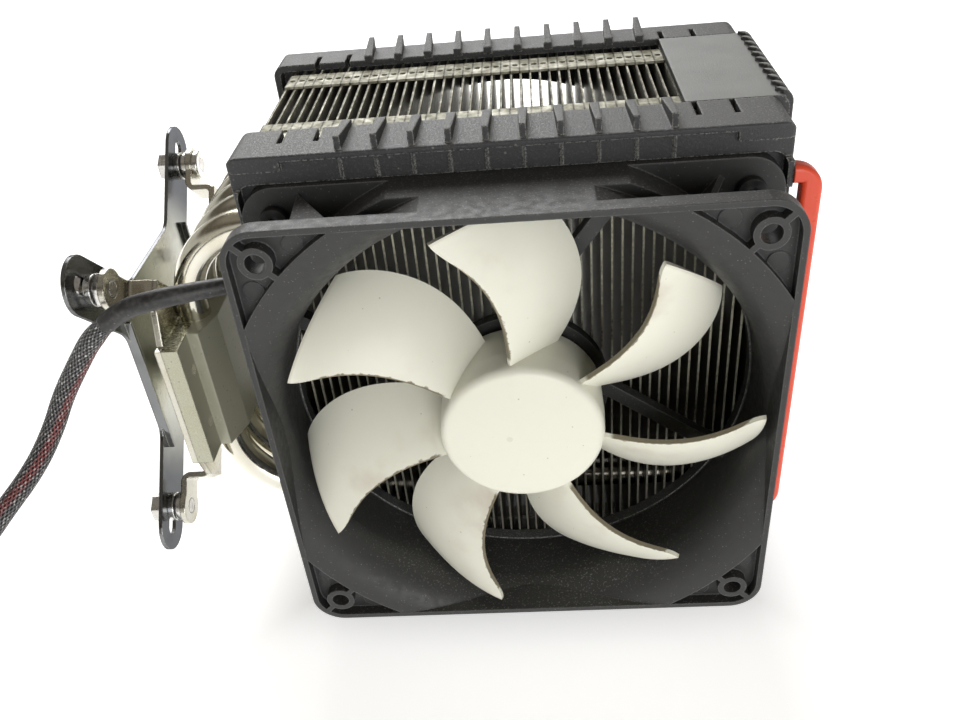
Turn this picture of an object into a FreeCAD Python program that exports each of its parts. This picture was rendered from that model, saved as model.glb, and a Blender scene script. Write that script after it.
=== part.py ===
import FreeCAD, Part
import math
import os
from FreeCAD import Vector

# A CPU tower cooler lying on the ribs of its two fan brackets, in millimetres.
# X runs along the tower, from the base at -X to the end cap at +X.
# Y is the fan's axis, from the fan at -Y to the rear bracket at +Y. Z is up.
# Shapes are drawn from the centre of the fan's front face. The export moves them
# so that the bottom centre of everything but the fan's lead is the origin.

# ---- driving dimensions ----
FAN = 60.0                  # half of the fan's side
FAN_DEPTH = 25.0
HOLE_PITCH = 105.0
HOLE_R = 2.25
FLANGE = 4.5
CORNER_R = 8.0
DUCT_R = 62.7
DUCT_REAR_R = 65.3          # the duct's thicker rear half
DUCT_STEP = 11.5
THROAT_R = 58.0
FLARE_R = 69.0
HUB_R = 20.0
BLADES = 7
BLADE_R = 56.4
BLADE_THICK = 1.1
SHAFT_R = 1.5
SLEEVE_CLEARANCE = 0.03

BRACKET_X = 61.5            # half length of both brackets
BRACKET_Z = 67.0            # half height without the ribs
REAR_X = 62.6               # the rear bracket is a little longer
REAR_SHIFT = -0.8           # and sits nearer the base
BRACKET_R = 3.0
RIB_TIP = 70.2
RIBS = (4.0, 12.0, 20.0, 28.0, 36.0)
SLOTS = (42.0, 50.3)
WALL = 1.7
SCREW_R = 2.0               # fan screws in the front bracket
PILOT_R = 1.8               # empty holes for a second fan's screws
WINDOW_R = 57.5

FINS = 48
FIN_PITCH = 2.46
FIN_THICK = 0.5
FIN_FRONT = 28.5
FIN_REAR = 87.5
FIN_Z = 64.4
TAB_THICK = 0.6

PIPE_R = 4.0
PIPES = 5
PIPE_PITCH = 10.25
MIDDLE_Y = 58.0             # the base's centre line along Y
PIPE_X = -84.6              # centre of the pipes' run through the base
PIPE_LEG_Z = 43.7
PIPE_BEND = 22.2
PIPE_END = 58.5

WING_FLOOR = -88.8
WING_TOP = -84.5
BLOCK_TOP = -78.5
BASE_Z = 18.4
BLOCK_HALF = 30.4           # half of the clamping block along Y
CONTACT_X = -92.0           # face that meets the processor
SHEET = 1.6                 # thickness of the retention brackets

BOLT = 36.0                 # bolts stand on a 72 mm square
BOLT_R = 2.0
TAB_FLOOR = -97.6
PLATE_TOP = -101.5
NYLON_FLOOR = -99.9
NYLON_TOP = -99.2
PLATE_FLOOR = -102.5
ARM_REACH = 63.0
ARM_HALF = 7.3
HEAD_BOTTOM = -106.3

CAP_OUT = 63.4
HANDLE_OUT = 68.0
LEAD_R = 2.5
SHRINK_R = 2.3
COIL_CENTRE = (-198.0, -5.0)
COIL_R = 27.5               # middle of the coil's outer turn; the inner turn lies beside it

# The lead leaves the fan's duct, hangs past the retention bolt and reaches the floor.
SHRINK_ROUTE = [(-50.0, 12.5, 41.8), (-60.5, 12.0, 41.5), (-71.0, 7.6, 42.4),
                (-80.5, 5.6, 41.8), (-87.7, 6.0, 39.5), (-92.0, 6.2, 36.1)]
LEAD_ROUTE = [(-92.0, 6.2, 36.1), (-96.3, 6.4, 32.7), (-101.4, 6.0, 26.3),
              (-107.0, 3.6, 18.6), (-110.3, 0.2, 11.8), (-114.8, -6.4, 4.8),
              (-122.5, -14.9, -2.2), (-136.5, -24.0, -17.5), (-148.0, -30.5, -35.5),
              (-158.5, -34.0, -51.0), (-169.0, -36.0, -62.6), (-182.0, -35.0, -67.7),
              (-198.0, -32.5, -67.7)]

REAR_Y = MIDDLE_Y + (ARM_REACH - ARM_HALF) / math.sqrt(2) + ARM_HALF
ORIGIN = Vector((HEAD_BOTTOM + HANDLE_OUT) / 2, REAR_Y / 2, -RIB_TIP)
X_AXIS = Vector(1, 0, 0)
Y_AXIS = Vector(0, 1, 0)
Z_AXIS = Vector(0, 0, 1)
HALF_PITCH = HOLE_PITCH / 2
NODES = {}


def keep(name, *solids):
    """Store one node: a solid, or a group of separate equal solids."""
    NODES[name] = solids[0] if len(solids) == 1 else Part.makeCompound(list(solids))


# ---- small builders ----
def box(x0, x1, y0, y1, z0, z1):
    return Part.makeBox(x1 - x0, y1 - y0, z1 - z0, Vector(x0, y0, z0))


def rod(radius, start, end):
    start = Vector(*start)
    along = Vector(*end) - start
    return Part.makeCylinder(radius, along.Length, start, along)


def disc(radius, y0, y1, x=0.0, z=0.0):
    """A cylinder along Y."""
    return rod(radius, (x, y0, z), (x, y1, z))


def ring(outer, inner, y0, y1, x=0.0, z=0.0):
    return disc(outer, y0, y1, x, z).cut(disc(inner, y0 - 1, y1 + 1, x, z))


def join(first, *others):
    return first.multiFuse(list(others)).removeSplitter()


def edges_along(shape, axis):
    """The straight edges of a shape that run along one axis."""
    found = []
    for edge in shape.Edges:
        if len(edge.Vertexes) == 2 and edge.Curve.TypeId == "Part::GeomLine":
            way = edge.Vertexes[1].Point - edge.Vertexes[0].Point
            if abs(abs(way.normalize().dot(axis)) - 1) < 1e-6:
                found.append(edge)
    return found


def slab(half_x, half_z, radius, y0, y1):
    """A plate square to Y with round corners."""
    plate = box(-half_x, half_x, y0, y1, -half_z, half_z)
    return plate.makeFillet(radius, edges_along(plate, Y_AXIS))


def polygon(points):
    return Part.Face(Part.makePolygon([Vector(*p) for p in points + points[:1]]))


def revolved(profile):
    """Turn a closed list of edges in the XY plane about the fan's axis."""
    return Part.Face(Part.Wire(profile)).revolve(Vector(0, 0, 0), Y_AXIS, 360)


def line(a, b):
    return Part.LineSegment(Vector(a[0], a[1], 0), Vector(b[0], b[1], 0)).toShape()


def bow(a, middle, b):
    ends = [Vector(p[0], p[1], 0) for p in (a, middle, b)]
    return Part.Arc(*ends).toShape()


def corners(pitch):
    return [(sx * pitch, sz * pitch) for sx in (-1, 1) for sz in (-1, 1)]


def turned(shape, degrees, centre=Vector(0, 0, 0), axis=Y_AXIS):
    copy = shape.copy()
    copy.rotate(centre, axis, degrees)
    return copy


# ---- fan ----
def fan_intake():
    """The air space at the front: a quarter-round flare held inside the square rim."""
    lip = bow((FLARE_R, -0.01), (THROAT_R + 3.2, 4.0), (THROAT_R, 13.0))
    flare = revolved([line((0, -0.01), (FLARE_R, -0.01)), lip,
                      line((THROAT_R, 13.0), (0, 13.0)), line((0, 13.0), (0, -0.01))])
    return flare.common(slab(FAN - 1.4, FAN - 1.4, CORNER_R - 1.4, -1, 14))


def fan_corner_pockets():
    """The hollows outside the flare at the four corners, without boss and webs."""
    pockets = slab(FAN - 1.4, FAN - 1.4, CORNER_R - 1.4, -1, 3.0).cut(disc(FLARE_R, -2, 4))
    for x, z in corners(HALF_PITCH):
        pockets = pockets.cut(disc(3.75, -2, 4, x, z))
        web = box(-0.7, 0.7, -2, 4, 60.0, 84.0)
        pockets = pockets.cut(turned(web, math.degrees(math.atan2(x, z))))
        for px, pz in ((x * 0.848, z * 1.05), (x * 1.05, z * 0.848)):
            pockets = pockets.cut(disc(2.4, 2.6, 4, px, pz))
    return pockets


def fan_struts():
    """Four leaning arms that carry the motor at the back of the duct."""
    struts = []
    for quarter in range(4):
        lean = math.degrees(math.atan2(25.8, 34.9))
        arm = box(0, 43.4, 21.5, FAN_DEPTH, -1.8, 1.8)
        arm.rotate(Vector(0, 0, 0), Y_AXIS, lean)
        arm.translate(Vector(20.4, 0, -0.3))
        struts.append(turned(arm, 90 * quarter))
    return struts


def fan_gussets():
    """Triangular webs beside each screw, and one level web between the flanges above the lead."""
    webs = []
    for angle in (39.5, 50.5):
        web = polygon([(61.0, 9.0, -0.75), (61.0, 20.6, -0.75), (72.5, 20.6, -0.75)])
        web = web.extrude(Vector(0, 0, 1.5))
        webs += [turned(web, angle + 90 * quarter) for quarter in range(4)]
    level = polygon([(-46.4, 20.6, 57.3), (-45.4, 4.4, 57.3), (-36.0, 4.4, 57.3)])
    return webs + [level.extrude(Vector(0, 0, 1.0))]


def fan_frame():
    duct = join(disc(DUCT_R, 0, FAN_DEPTH), disc(DUCT_REAR_R, DUCT_STEP, FAN_DEPTH - 1))
    duct = duct.common(box(-FAN, FAN, 0, FAN_DEPTH, -FAN, FAN))
    front = slab(FAN, FAN, CORNER_R, 0, FLANGE)
    rear = slab(FAN, FAN, CORNER_R, FAN_DEPTH - FLANGE, FAN_DEPTH)
    exit_boss = box(-50.0, -44.0, 9.3, 15.7, 38.4, 45.2)
    frame = join(duct, front, rear, exit_boss, *fan_gussets())
    frame = frame.cut(disc(THROAT_R, -1, FAN_DEPTH + 1)).cut(fan_intake())
    frame = frame.cut(fan_corner_pockets())
    frame = frame.cut(box(-56.0, -50.0, 9.3, 15.7, 38.4, 45.2))
    motor_base = disc(22.0, 22.0, FAN_DEPTH)
    bearing_tube = disc(5.0, 8.0, 22.5)
    arms = [arm.common(disc(THROAT_R + 1.5, 21, 26)) for arm in fan_struts()]
    frame = join(frame, motor_base, bearing_tube, *arms)
    frame = frame.cut(disc(3.0, 7.0, 24.0))
    holes = [disc(HOLE_R, -1, FAN_DEPTH + 1, x, z) for x, z in corners(HALF_PITCH)]
    return frame.cut(Part.makeCompound(holes))


def blade_point(radius, chord):
    """A point of a blade's front skin: chord is 0 at the leading edge and 1 at the trailing."""
    out = (radius - HUB_R) / (BLADE_R - HUB_R)
    leading = -8.0 - 6.5 * out + 21.0 * out ** 2 - 2.6 * out ** 14
    trailing = -41.2 - 3.0 * out + 24.2 * out ** 2 + 1.6 * out ** 14
    front = 5.0 - 4.0 * out
    back = 17.3 - 0.6 * out
    angle = math.radians(leading + (trailing - leading) * chord)
    depth = front + (back - front) * (0.62 * chord + 0.38 * chord ** 2)
    return Vector(radius * math.cos(angle), depth, radius * math.sin(angle))


def blade():
    """One sickle blade: a curved skin thickened toward the rear."""
    radii = [19.2, 27.0, 35.0, 43.0, 49.5, 53.5, BLADE_R]
    chords = [0.0, 0.2, 0.4, 0.6, 0.8, 1.0]
    skin = Part.BSplineSurface()
    skin.interpolate([[blade_point(r, c) for c in chords] for r in radii])
    return skin.toShape().makeOffsetShape(BLADE_THICK, 1e-3, fill=True)


def fan_rotor():
    """Hub cap and seven blades in one moulding."""
    rim = [bow((0.0, 1.2), (9.5, 1.7), (17.8, 3.0)), bow((17.8, 3.0), (19.2, 3.8), (19.7, 5.2)),
           line((19.7, 5.2), (HUB_R, 10.0)),
           line((HUB_R, 10.0), (HUB_R, 20.0)), line((HUB_R, 20.0), (18.6, 20.0)),
           line((18.6, 20.0), (18.6, 6.6)), line((18.6, 6.6), (3.6, 3.2)),
           line((3.6, 3.2), (3.6, 7.4)), line((3.6, 7.4), (0.0, 7.4)),
           line((0.0, 7.4), (0.0, 1.2))]
    hub = revolved(rim)
    shape = blade()
    pitch = 360.0 / BLADES
    blades = [turned(shape, -pitch * index) for index in range(BLADES)]
    rotor = hub.multiFuse(blades)
    return rotor.cut(disc(SHAFT_R, 4.0, 9.0))


def stator_core():
    """Laminated core with four wound arms."""
    core = ring(8.0, 5.0, 10.5, 17.0)
    for quarter in range(4):
        arm = box(-2.2, 2.2, 10.5, 17.0, 7.5, 14.0)
        shoe = ring(15.2, 13.4, 10.5, 17.0).common(box(-8.5, 8.5, 10, 18, 9.0, 16.0))
        core = core.fuse(turned(join(arm, shoe), 90 * quarter))
    return core.removeSplitter()


def stator_coils():
    """A winding round each arm of the core."""
    outer = box(-5.4, 5.4, 8.3, 19.2, 8.3, 13.2)
    inner = box(-2.2, 2.2, 10.5, 17.0, 7.0, 15.0)
    winding = outer.makeFillet(1.6, edges_along(outer, Z_AXIS)).cut(inner)
    winding = winding.common(disc(13.4, 8, 20))
    return [turned(winding, 90 * quarter) for quarter in range(4)]


def fan_motor():
    keep("rotor_yoke", ring(18.6, 17.8, 7.0, 19.5))
    keep("rotor_magnet", ring(17.8, 15.8, 9.0, 19.0))
    groove = ring(2.0, 1.1, 21.6, 22.1)
    keep("rotor_shaft", disc(SHAFT_R, 4.0, 23.3).cut(groove))
    keep("shaft_clip", ring(2.6, 1.1, 21.65, 22.05))
    keep("bearing_sleeve", ring(3.0, SHAFT_R + SLEEVE_CLEARANCE, 8.6, 21.2))
    keep("thrust_pad", disc(3.0, 23.4, 24.0))
    keep("stator_core", stator_core())
    keep("stator_coils", *stator_coils())
    keep("motor_board", ring(14.5, 5.0, 20.6, 22.0))


def fan_screws():
    """Self-tapping screws from the rear flange into the front bracket."""
    screws = []
    for x, z in corners(HALF_PITCH):
        head = disc(3.3, 18.4, 20.5, x, z).cut(disc(1.2, 18.0, 19.6, x, z))
        screws.append(join(head, disc(SCREW_R, 20.4, FIN_FRONT - 0.1, x, z)))
    return screws


# ---- fan brackets ----
def rib(x, side, outer_y, inner_y):
    """A tapering rib on the top (side 1) or bottom (side -1) of a bracket."""
    ends = []
    for y, half, tip in ((outer_y, 0.7, RIB_TIP), (inner_y, 1.1, RIB_TIP - 1.9)):
        base = (BRACKET_Z - 0.6) * side
        top = tip * side
        points = [Vector(x - half, y, base), Vector(x + half, y, base),
                  Vector(x + half, y, top), Vector(x - half, y, top)]
        ends.append(Part.makePolygon(points + points[:1]))
    return Part.makeLoft(ends, True, True)


def bracket_ribs(outer_y, inner_y):
    """The ribs on the top and bottom of a bracket."""
    places = [(side * x, up) for x in RIBS for side in (-1, 1) for up in (-1, 1)]
    return [rib(x, up, outer_y, inner_y) for x, up in places]


def face_ridges(y0, y1):
    """Thin ridges that run on from the ribs down the set-back part of a bracket's face."""
    ridges = []
    for x in RIBS:
        for place in (-x, x):
            ridges.append(box(place - 0.3, place + 0.3, y0, y1, 60.4, 66.5))
            ridges.append(box(place - 0.3, place + 0.3, y0, y1, -66.5, -60.4))
    return ridges


def bracket_slots(y0, y1):
    """The narrow slots that open to a bracket's inner edge."""
    cuts = []
    for x in SLOTS:
        for place in (-x, x):
            cuts.append(box(place - 0.65, place + 0.65, y0, y1, BRACKET_Z - 3, BRACKET_Z + 1))
            cuts.append(box(place - 0.65, place + 0.65, y0, y1, -BRACKET_Z - 1, 3 - BRACKET_Z))
    return cuts


def bracket_block(half_x, face, inner):
    """A bracket's outer shape: its face at y = face has rounded ends and is set back near the fan."""
    way = math.copysign(1.0, inner - face)
    near, far = sorted((face, inner))
    block = box(-half_x, half_x, near, far, -BRACKET_Z, BRACKET_Z)
    ends = [e for e in edges_along(block, Z_AXIS) if abs(e.Vertexes[0].Point.y - face) < 1e-6]
    block = block.makeFillet(2.5, ends)
    rims = [e for e in edges_along(block, X_AXIS) if abs(e.Vertexes[0].Point.y - face) < 1e-6]
    block = block.makeFillet(0.5, rims).common(slab(half_x, BRACKET_Z, BRACKET_R, near, far))
    back_y = sorted((face - way, face + 1.2 * way))
    for side in (-1, 1):
        low_z = sorted((59.0 * side, 63.4 * side))
        high_z = sorted((60.0 * side, 65.6 * side))
        block = block.cut(box(-half_x - 1, half_x + 1, *back_y, *low_z))
        block = block.cut(box(-49.2, 49.2, *back_y, *high_z))
    return block.fuse(face_ridges(*sorted((face + 0.6 * way, face + 1.6 * way))))


def front_bracket():
    face = 21.0
    back = 36.2
    hollow = slab(BRACKET_X - WALL, BRACKET_Z - WALL, BRACKET_R - WALL, FIN_FRONT, back + 1)
    seat = slab(FAN + 0.2, FAN + 0.1, 3.2, face - 1, FAN_DEPTH)
    lugs = [box(FAN, BRACKET_X, face, FAN_DEPTH, z0, z1) for z0, z1 in ((-45.8, -38.5), (52.2, 58.2))]
    body = join(bracket_block(BRACKET_X, face, back), *lugs).cut(hollow).cut(seat)
    body = join(body, *bracket_ribs(face + 1.2, back + 0.5)).cut(disc(WINDOW_R, 20, 40))
    body = body.cut(Part.makeCompound(bracket_slots(back - 8.0, back + 1)))
    pilots = [disc(SCREW_R, 20, 40, x, z) for x, z in corners(HALF_PITCH)]
    side_gap = box(-BRACKET_X - 1, -BRACKET_X + WALL + 1, 32.6, back + 1, -52, 52)
    return body.cut(Part.makeCompound(pilots)).cut(side_gap)


def rear_bracket():
    face = 94.0
    front = 83.0
    hollow = slab(REAR_X - WALL, BRACKET_Z - WALL, BRACKET_R - WALL, front - 1, FIN_REAR)
    seat = slab(FAN + 0.2, FAN + 0.1, 3.2, FIN_REAR + 3.0, face + 1)
    body = bracket_block(REAR_X, face, front).cut(hollow).cut(seat)
    body = join(body, *bracket_ribs(face - 1.2, front - 0.5)).cut(disc(WINDOW_R, 80, 100))
    body = body.cut(Part.makeCompound(bracket_slots(front - 1, front + 6.0)))
    pilots = [disc(PILOT_R, 80, 100, x, z) for x, z in corners(HALF_PITCH)]
    body = body.cut(Part.makeCompound(pilots))
    body.translate(Vector(REAR_SHIFT, 0, 0))
    return body


def handle():
    """Red grip on the front bracket's end, held by a link at each end."""
    outline = box(BRACKET_X, HANDLE_OUT, 20.2, 24.6, -44.8, 57.2)
    outer = [e for e in edges_along(outline, Y_AXIS) if e.Vertexes[0].Point.x > BRACKET_X + 1]
    bar = outline.makeFillet(6.0, outer)
    gap = box(BRACKET_X - 1, 63.4, 19, 26, -39.5, 53.0)
    bar = bar.cut(gap)
    long_edges = [e for e in bar.Edges if e.BoundBox.XMax > BRACKET_X + 0.1
                  and e.BoundBox.YLength < 1e-6 and e.BoundBox.XMin > BRACKET_X - 0.1
                  and e.BoundBox.XLength + e.BoundBox.ZLength > 1.5
                  and not (e.BoundBox.XLength < 1e-6 and e.BoundBox.XMax < BRACKET_X + 0.1)]
    return bar.makeFillet(1.2, long_edges)


# ---- heat sink ----
def pipe_places():
    first = MIDDLE_Y - PIPE_PITCH * (PIPES - 1) / 2
    return [first + PIPE_PITCH * index for index in range(PIPES)]


def fin(folded):
    """One stamped fin: holes for the pipes and, if folded, tabs that reach to the next fin."""
    plate = box(0, FIN_THICK, FIN_FRONT, FIN_REAR, -FIN_Z, FIN_Z)
    tabs = []
    for y0, y1 in ((35.5, 45.5), (71.5, 80.5)):
        for side in (-1, 1):
            z0, z1 = sorted((side * (FIN_Z - 0.01), side * (FIN_Z + TAB_THICK)))
            tab = box(0, FIN_PITCH - 0.02, y0, y1, z0, z1)
            hole = Part.makeCylinder(0.8, 4, Vector(1.3, (y0 + y1) / 2, z0 - 1))
            tabs.append(tab.cut(hole))
    if folded:
        plate = join(plate, *tabs)
    bores = [rod(PIPE_R, (-1, y, z), (3, y, z)) for y in pipe_places() for z in (-PIPE_LEG_Z, PIPE_LEG_Z)]
    return plate.cut(Part.makeCompound(bores))


def fin_stack():
    inner, last = fin(True), fin(False)
    fins = []
    for index in range(FINS):
        copy = inner.copy() if index < FINS - 1 else last
        copy.translate(Vector(FIN_PITCH * (index - (FINS - 1) / 2) - FIN_THICK / 2, 0, 0))
        fins.append(copy)
    return fins


def heat_pipe(y):
    """A U-shaped pipe: through the base and up both sides of the fin stack."""
    turn = PIPE_X + PIPE_BEND
    flat = PIPE_LEG_Z - PIPE_BEND
    half = PIPE_BEND * math.sqrt(0.5)
    path = []
    for side in (-1, 1):
        leg = [Vector(PIPE_END, y, side * PIPE_LEG_Z), Vector(turn, y, side * PIPE_LEG_Z)]
        middle = Vector(turn - half, y, side * (flat + half))
        foot = Vector(PIPE_X, y, side * flat)
        edges = [Part.LineSegment(*leg).toShape(), Part.Arc(leg[1], middle, foot).toShape()]
        path.append(edges)
    across = Part.LineSegment(Vector(PIPE_X, y, -flat), Vector(PIPE_X, y, flat)).toShape()
    spine = Part.Wire(path[0] + [across] + path[1][::-1])
    start = Vector(PIPE_END, y, -PIPE_LEG_Z)
    section = Part.Wire(Part.makeCircle(PIPE_R, start, Vector(1, 0, 0)))
    return spine.makePipeShell([section], True, False)


def end_cap():
    """Ridged cover on the far end of the tower, with smooth flaps above and below."""
    front = 36.5
    back = 82.7
    cover = slab(CAP_OUT, BRACKET_Z, BRACKET_R, front, back)
    cover = cover.cut(slab(CAP_OUT - 2.6, BRACKET_Z - WALL, BRACKET_R - WALL, front - 1, back + 1))
    cover = cover.common(box(40.3, 66, front, back, -70, 70))
    ridges = []
    for index in range(11):
        y = front + 2.1 + 4.2 * index
        hoop = slab(CAP_OUT + 1.0, BRACKET_Z + 0.9, BRACKET_R, y - 1.0, y + 1.0)
        hoop = hoop.cut(slab(CAP_OUT - 0.4, BRACKET_Z - 0.4, BRACKET_R - 0.4, y - 2, y + 2))
        tooth = [(60.4, y + 0.7), (62.2, y - 1.0), (66.0, y - 1.0), (66.0, y + 1.0)]
        reach = polygon([(x, across, -70) for x, across in tooth]).extrude(Vector(0, 0, 140))
        ridges.append(hoop.common(reach))
    return join(cover, *ridges)


# ---- base ----
def base_screw_places():
    places = []
    for y in (MIDDLE_Y - 32.3, MIDDLE_Y + 32.3):
        places += [(y, -8.5), (y, 8.5)]
    return places


def base_block():
    """Upper half of the base: two wings and the block that clamps the pipes."""
    wings = box(WING_FLOOR, WING_TOP, MIDDLE_Y - 38, MIDDLE_Y + 38, -BASE_Z, BASE_Z)
    half = BLOCK_HALF
    low = [(WING_TOP, MIDDLE_Y - half), (BLOCK_TOP - 3.0, MIDDLE_Y - half), (BLOCK_TOP, 36.0),
           (BLOCK_TOP, 2 * MIDDLE_Y - 36.0), (BLOCK_TOP - 3.0, MIDDLE_Y + half),
           (WING_TOP, MIDDLE_Y + half)]
    block = polygon([(x, y, -BASE_Z) for x, y in low]).extrude(Vector(0, 0, 2 * BASE_Z))
    base = join(wings, block)
    cuts = []
    for y in pipe_places():
        cuts.append(rod(PIPE_R, (PIPE_X, y, -30), (PIPE_X, y, 30)))
        cuts.append(box(WING_FLOOR - 1, PIPE_X, y - 1.5, y + 1.5, -30, 30))
    for y, z in base_screw_places():
        cuts.append(rod(1.5, (-95, y, z), (-80, y, z)))
    return base.cut(Part.makeCompound(cuts))


def cold_plate():
    plate = box(CONTACT_X, WING_FLOOR, 36.0, 80.0, -BASE_Z, BASE_Z)
    return plate.makeFillet(1.2, edges_along(plate, X_AXIS))


def base_screws():
    """Screws that hold the retention brackets under the wings, flush with the wings' tops."""
    low = WING_FLOOR - SHEET
    screws = []
    for y, z in base_screw_places():
        head = rod(2.7, (low - 1.4, y, z), (low, y, z))
        head = head.cut(box(low - 2, low - 0.8, y - 2.2, y + 2.2, z - 0.35, z + 0.35))
        screws.append(join(head, rod(1.5, (low - 0.1, y, z), (WING_TOP, y, z))))
    return screws


# ---- retention ----
def diagonal(shape, sy, sz):
    """Turn a shape drawn outward along +Z from the base's centre to one corner."""
    return turned(shape, -45 * sz * (1 if sy > 0 else -1) + (0 if sz > 0 else 180),
                  Vector(0, MIDDLE_Y, 0), X_AXIS)


def retainer_arm():
    """A Z-shaped arm along +Z from the base's centre, with an eye for the bolt."""
    inner = 41.6
    outer = inner + SHEET
    top = WING_FLOOR
    eye_z = BOLT * math.sqrt(2)
    points = [(top - SHEET, 36.0), (top - SHEET, inner), (TAB_FLOOR, inner), (TAB_FLOOR, eye_z),
              (TAB_FLOOR + SHEET, eye_z), (TAB_FLOOR + SHEET, outer), (top, outer), (top, 36.0)]
    strip = polygon([(x, MIDDLE_Y - 4.0, z) for x, z in points]).extrude(Vector(0, 8.0, 0))
    bends = {(top - SHEET, inner): 1.2, (TAB_FLOOR, inner): 2.8,
             (TAB_FLOOR + SHEET, outer): 1.2, (top, outer): 2.8}
    for (x, z), radius in bends.items():
        edge = [e for e in edges_along(strip, Y_AXIS)
                if abs(e.Vertexes[0].Point.x - x) + abs(e.Vertexes[0].Point.z - z) < 1e-3]
        strip = strip.makeFillet(radius, edge)
    eye = rod(5.0, (TAB_FLOOR, MIDDLE_Y, eye_z), (TAB_FLOOR + SHEET, MIDDLE_Y, eye_z))
    hole = rod(BOLT_R + 0.2, (TAB_FLOOR - 1, MIDDLE_Y, eye_z), (TAB_FLOOR + 3, MIDDLE_Y, eye_z))
    return join(strip, eye).cut(hole)


def retainer(side):
    """Front (side -1) or rear (side 1) retention bracket, with two arms."""
    def at(y):
        return MIDDLE_Y + side * (MIDDLE_Y - y)

    low = WING_FLOOR - SHEET
    y0, y1 = sorted((at(20.0), at(34.0)))
    parts = [box(low, WING_FLOOR, y0, y1, -BASE_Z, BASE_Z)]
    for sz in (-1, 1):
        root = [(22.0, 17.9), (25.17, 27.17), (30.83, 32.83), (41.0, 22.7), (41.0, 18.8),
                (34.0, 18.8), (34.0, 17.9)]
        face = polygon([(low, at(y), sz * z) for y, z in root])
        parts.append(face.extrude(Vector(SHEET, 0, 0)))
        parts.append(diagonal(retainer_arm(), side, sz))
    body = join(*parts)
    holes = [rod(1.5, (low - 1, y, z), (WING_FLOOR + 1, y, z))
             for y, z in base_screw_places() if (y - MIDDLE_Y) * side > 0]
    return body.cut(Part.makeCompound(holes))


def bolt_places():
    return [(MIDDLE_Y + sy * BOLT, sz * BOLT) for sy in (-1, 1) for sz in (-1, 1)]


def backplate():
    """Sheet steel plate behind the motherboard, with four slotted arms."""
    reach = ARM_REACH - ARM_HALF
    flat = PLATE_TOP - PLATE_FLOOR
    centre = box(PLATE_FLOOR, PLATE_TOP, 31.5, 84.5, -26.0, 26.0)
    arm = box(PLATE_FLOOR, PLATE_TOP, MIDDLE_Y - ARM_HALF, MIDDLE_Y + ARM_HALF, 10.0, reach)
    tip = rod(ARM_HALF, (PLATE_FLOOR, MIDDLE_Y, reach), (PLATE_TOP, MIDDLE_Y, reach))
    near, far = 50.9, 56.6
    slot = box(PLATE_FLOOR - 1, PLATE_TOP + 1, MIDDLE_Y - 2.2, MIDDLE_Y + 2.2, near, far)
    ends = [rod(2.2, (PLATE_FLOOR - 1, MIDDLE_Y, z), (PLATE_TOP + 1, MIDDLE_Y, z)) for z in (near, far)]
    arms = []
    slots = []
    for sy in (-1, 1):
        for sz in (-1, 1):
            arms.append(diagonal(join(arm, tip), sy, sz))
            slots.append(diagonal(join(slot, *ends), sy, sz))
    plate = join(centre, *arms)
    outline = [f for f in plate.Faces if abs(f.CenterOfMass.x - PLATE_FLOOR) < 1e-6][0]
    soft = outline.makeOffset2D(7.0).makeOffset2D(-7.0)
    plate = soft.extrude(Vector(flat, 0, 0))
    for y, z0, z1 in ((31.5, -22.0, 20.0), (84.5 - flat, -20.0, 22.0)):
        plate = plate.fuse(box(PLATE_FLOOR, PLATE_FLOOR + 2.6, y, y + flat, z0, z1))
    return plate.removeSplitter().cut(Part.makeCompound(slots))


def hexagon(across_flats, x0, x1, y, z):
    """A hexagonal prism along X."""
    radius = across_flats / math.sqrt(3)
    rim = []
    for index in range(6):
        angle = math.radians(60 * index + 30)
        rim.append((x0, y + radius * math.cos(angle), z + radius * math.sin(angle)))
    return polygon(rim).extrude(Vector(x1 - x0, 0, 0))


def fixings():
    """Bolts, washers and nuts at the corners of the 72 mm square."""
    tab_top = TAB_FLOOR + SHEET
    thumb_top = tab_top + 1.8
    front, rear = bolt_places()[1], bolt_places()[3]
    bolts = []
    nylon = []
    steel = []
    for y, z in bolt_places():
        end = thumb_top if (y, z) == rear else tab_top
        head = hexagon(7.0, HEAD_BOTTOM, PLATE_FLOOR, y, z)
        bolts.append(join(head, rod(BOLT_R, (PLATE_FLOOR - 0.5, y, z), (end, y, z))))
        hole = rod(BOLT_R, (-110, y, z), (-90, y, z))
        steel.append(rod(4.0, (PLATE_TOP, y, z), (NYLON_FLOOR, y, z)).cut(hole))
        nylon.append(rod(3.4, (NYLON_FLOOR, y, z), (NYLON_TOP, y, z)).cut(hole))
        if (y, z) != front:
            steel.append(rod(4.2, (NYLON_TOP, y, z), (TAB_FLOOR, y, z)).cut(hole))
    keep("mount_bolts", *bolts)
    keep("nylon_washers", *nylon)
    keep("steel_washers", *steel)
    nut = hexagon(7.8, NYLON_TOP, TAB_FLOOR, *front)
    keep("hex_nut", nut.cut(rod(BOLT_R, (-110, *front), (-90, *front))))
    thumb = rod(4.2, (tab_top, *rear), (thumb_top, *rear))
    thumb = thumb.makeFillet(0.6, [e for e in thumb.Edges if e.BoundBox.XMin > thumb_top - 0.1])
    keep("thumb_nut", thumb.cut(rod(BOLT_R, (-110, *rear), (-90, *rear))))


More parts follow.
